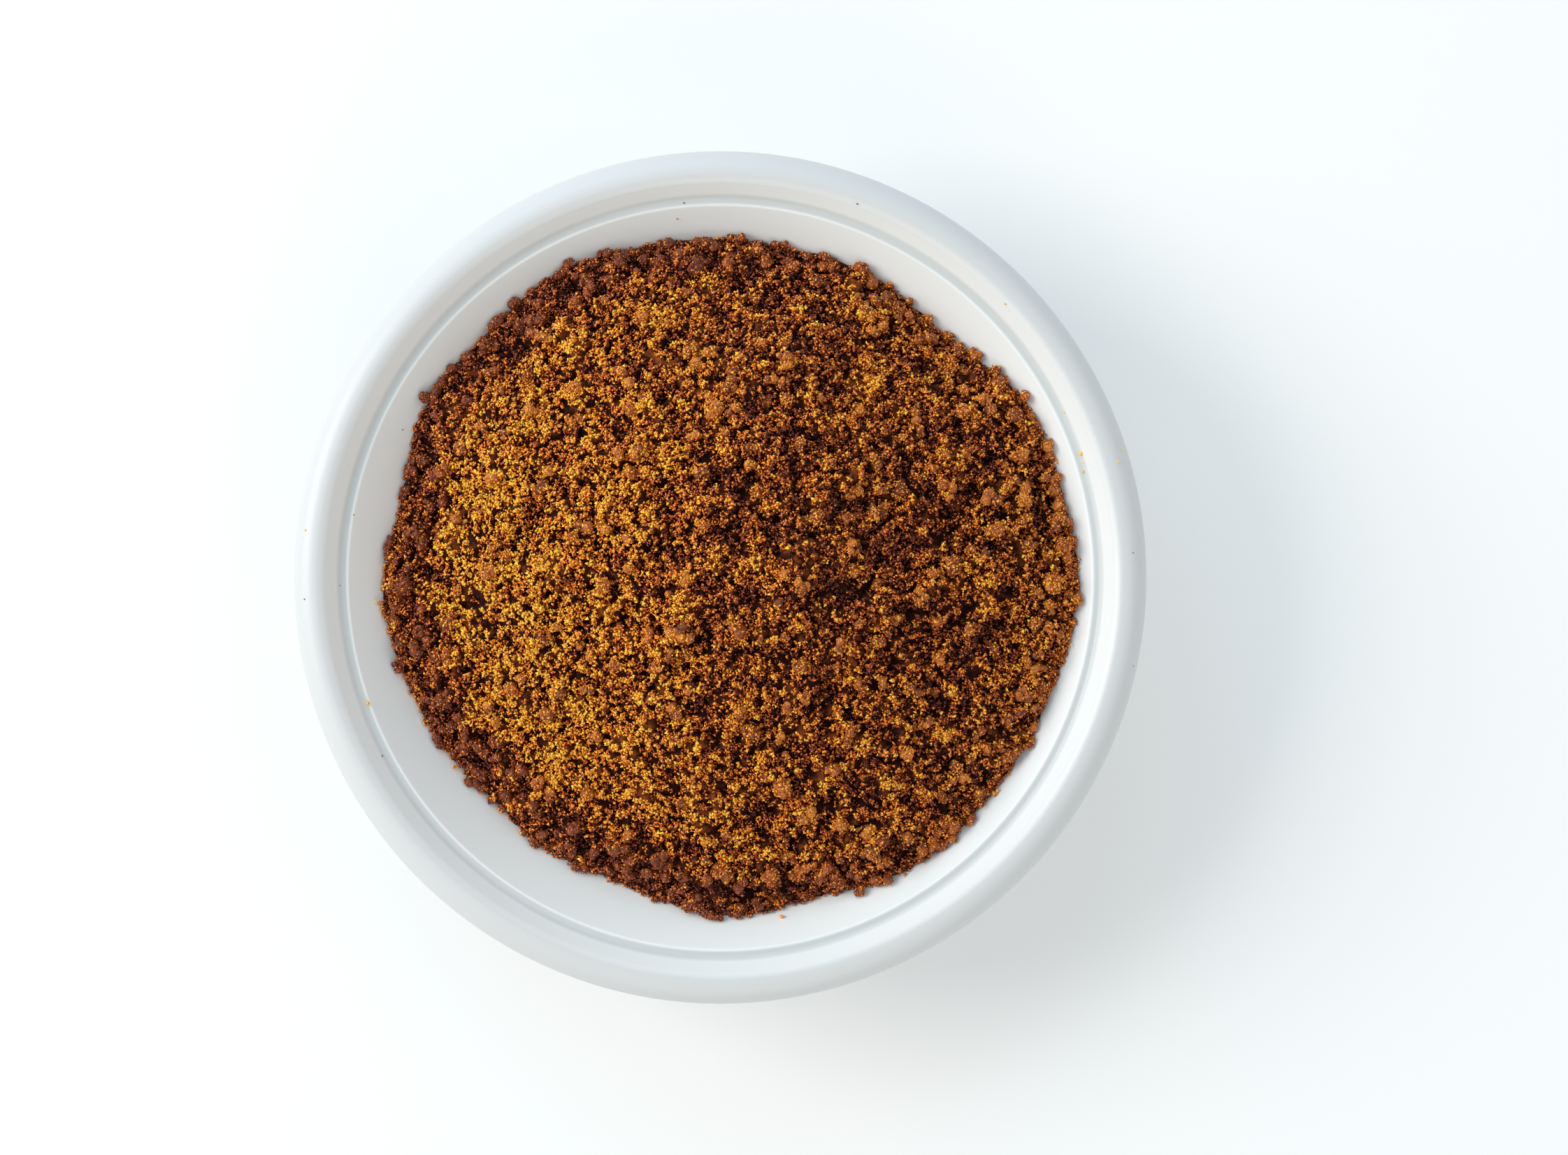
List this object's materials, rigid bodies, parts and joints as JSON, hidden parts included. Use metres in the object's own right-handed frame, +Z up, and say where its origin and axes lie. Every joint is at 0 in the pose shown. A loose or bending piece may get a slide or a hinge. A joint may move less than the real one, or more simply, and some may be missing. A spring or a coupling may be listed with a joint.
{
  "type": "bowl of jaggery powder",
  "caption": "Round white glazed bowl with a rolled rim, filled with a domed heap of coarse golden-brown jaggery powder.",
  "frame": {"origin": "centre of the foot ring's underside, on the surface that the bowl stands on", "axes": "+Z up along the bowl's turning axis, +X towards the picture's right edge and +Y towards its top edge, as seen from above"},
  "size_m": [0.15, 0.15, 0.0516],
  "materials": {
    "white_glaze": "smooth glossy white glaze",
    "jaggery": "loose crystals and crumbs, golden to dark brown, matt with small sparkles"
  },
  "bodies": {
    "root": {"bowl": "white_glaze", "jaggery_heap": "jaggery"}
  },
  "joints": []
}
